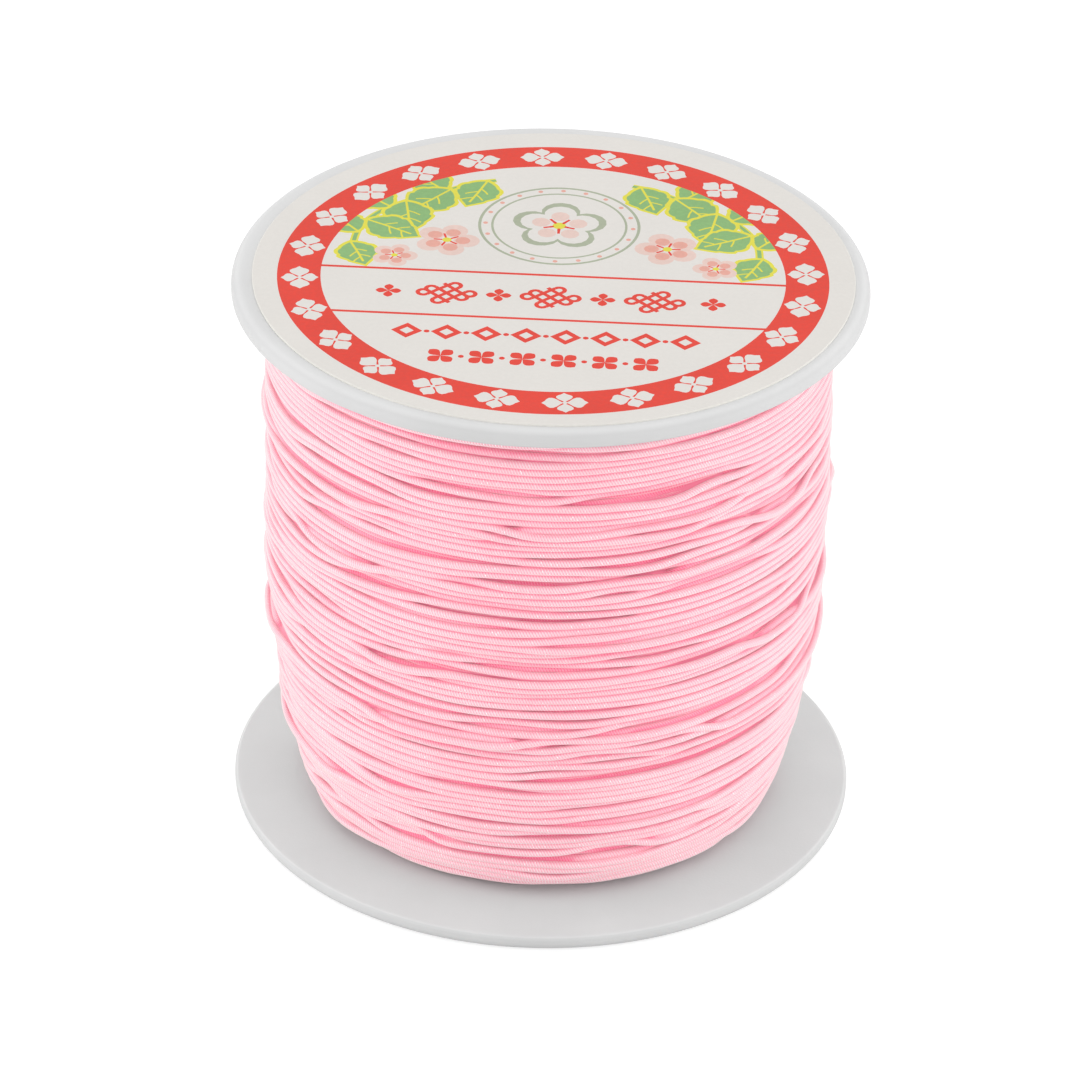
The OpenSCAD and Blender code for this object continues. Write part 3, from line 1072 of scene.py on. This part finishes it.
def label():
    """The paper disc. Its upper face is divided along the print's outlines, and each part has
    its ink."""
    sheet = design()
    shapes = [(0, circle(LABEL_X, LABEL_Y, LABEL_R - LABEL_BEVEL, LABEL_STEPS))]
    middle = (LABEL_X + PRINT_X, LABEL_Y + PRINT_Y)
    shapes += [(ink, moved(points, *middle, PRINT_DEGREES)) for ink, points in sheet.shapes]
    given, outlines = [], []
    for ink, outline in shapes:
        outlines.append(list(range(len(given), len(given) + len(outline))))
        given += [Vector((float(x), float(y))) for x, y in outline]
    made = delaunay_2d_cdt(given, [], outlines, 1, 1e-5)
    flat, triangles, origins, sources = made[0], made[2], made[3], made[5]
    polygons, inks = [], []
    # The place among the shapes of the field inside the border
    field = 2
    for triangle, source in zip(triangles, sources):
        polygons.append(list(triangle))
        seen = [k for k in source if k <= sheet.border_shapes or field in source]
        inks.append(shapes[max(seen)][0] if seen else 0)
    # The first shape is the edge of the upper face, from which the bevel and the side go down
    edge = {k: index for index, origin in enumerate(origins) for k in origin}
    top, n = SPOOL_H + LABEL_T, LABEL_STEPS
    rim, base = circle(LABEL_X, LABEL_Y, LABEL_R, n), len(flat)
    points = [(p.x, p.y, top) for p in flat]
    points += [(x, y, top - LABEL_BEVEL_DEPTH) for x, y in rim]
    points += [(x, y, SPOOL_H) for x, y in rim]
    for i in range(n):
        j = (i + 1) % n
        polygons.append([edge[i], base + i, base + j, edge[j]])
        polygons.append([base + i, base + n + i, base + n + j, base + j])
    polygons.append([base + n + i for i in range(n)][::-1])
    inks += [len(INKS)] * (2 * n + 1)
    materials = [print_material(*ink) for ink in (*INKS.values(), LABEL_EDGE)]
    piece = mesh_object("label", points, polygons, materials, inks, smooth=False)
    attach(piece, "root")
    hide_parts("upper_label")


label()


# ---------------------------------------------------------------- floor, light and camera

WHITE = (1, 1, 1, 1)
# How far the ground reaches and how far it lies under the spool, in millimetres
GROUND_HALF, GROUND_DROP = 1500, 0.02
# The ground as the camera sees it is grey in itself and glows up to white, so that a shadow
# shows on it; for all other rays it is plain
GROUND_SEEN, GROUND_GLOW, GROUND_PLAIN = 0.45, 0.68, 0.84
SKY_LIGHT = 0.96
# Each soft box's place and size in millimetres, and its power in watts
LAMPS = {
    "left": ((-400, -40, 60), 240, 0.66),
    "right": ((400, -40, 60), 240, 0.66),
    "front": ((-60, -430, 110), 300, 0.14),
}
# The camera's place in millimetres, and how far it looks down, is panned and is rolled in degrees
CAMERA_PLACE = (0, -368.22, 242.396)
CAMERA_DOWN, CAMERA_PAN, CAMERA_ROLL = 31.234, -0.05, 1.186
CAMERA_LENS = 213.3


def floor():
    """A white ground. The camera sees it white, and its shade where the spool keeps light off."""
    material, tree, shader = new_material("ground")
    tree.nodes.remove(shader)
    diffuse = add(tree, "ShaderNodeBsdfDiffuse", Color=(GROUND_SEEN,) * 3 + (1,))
    glow = add(tree, "ShaderNodeEmission", Strength=GROUND_GLOW)
    both = tree.nodes.new("ShaderNodeAddShader")
    tree.links.new(diffuse.outputs[0], both.inputs[0])
    tree.links.new(glow.outputs[0], both.inputs[1])
    plain = add(tree, "ShaderNodeBsdfDiffuse", Color=(GROUND_PLAIN,) * 3 + (1,))
    surface = by_ray(tree, ["Is Camera Ray"], plain.outputs[0], both.outputs[0])
    tree.links.new(surface, tree.nodes["Material Output"].inputs[0])
    h = GROUND_HALF
    corners = [(-h, -h, 0), (h, -h, 0), (h, h, 0), (-h, h, 0)]
    ground = mesh_object("ground", corners, [[0, 1, 2, 3]], [material], smooth=False)
    ground.location.z = -GROUND_DROP * MM


def sky():
    """Even white light, and pure white where the camera sees it."""
    world = bpy.data.worlds.new("studio")
    bpy.context.scene.world = world
    world.use_nodes = True
    tree = world.node_tree
    seen = tree.nodes["Background"]
    set_plain(seen, {"Color": WHITE, "Strength": 1.0})
    light = add(tree, "ShaderNodeBackground", Color=WHITE, Strength=SKY_LIGHT)
    rays = ["Is Camera Ray", "Is Glossy Ray", "Is Transmission Ray"]
    surface = by_ray(tree, rays, light.outputs[0], seen.outputs[0])
    tree.links.new(surface, tree.nodes["World Output"].inputs[0])


def lamp(name, position_mm, size_mm, watts):
    """A square soft box that faces the spool's middle."""
    data = bpy.data.lights.new(name, "AREA")
    data.shape = "SQUARE"
    data.size = size_mm * MM
    data.energy = watts
    box = bpy.data.objects.new(name, data)
    box.visible_camera = False
    bpy.context.scene.collection.objects.link(box)
    box.location = Vector(position_mm) * MM
    aim = Vector((0, 0, SPOOL_H / 2 * MM)) - Vector(position_mm) * MM
    box.rotation_mode = "QUATERNION"
    box.rotation_quaternion = aim.to_track_quat("-Z", "Y")


def turned(a, b, degrees):
    """Two vectors at right angles, turned in their plane from a towards b."""
    cos, sin = math.cos(math.radians(degrees)), math.sin(math.radians(degrees))
    return a * cos + b * sin, b * cos - a * sin


def camera():
    """A long lens above the horizon, a little rolled."""
    down = math.radians(CAMERA_DOWN)
    ahead = Vector((0, math.cos(down), -math.sin(down)))
    right = Vector((1, 0, 0))
    up = right.cross(ahead)
    ahead, right = turned(ahead, right, CAMERA_PAN)
    right, up = turned(right, up, CAMERA_ROLL)
    data = bpy.data.cameras.new("camera")
    data.lens = CAMERA_LENS
    data.sensor_width = 36
    data.clip_start, data.clip_end = 0.02, 10
    view = bpy.data.objects.new("camera", data)
    bpy.context.scene.collection.objects.link(view)
    axes = Matrix((right, up, -ahead)).transposed().to_4x4()
    view.matrix_world = Matrix.Translation(Vector(CAMERA_PLACE) * MM) @ axes
    bpy.context.scene.camera = view


floor()
sky()
for name, (position, size, watts) in LAMPS.items():
    lamp(name, position, size, watts)
camera()
bpy.context.scene.view_settings.view_transform = "Standard"
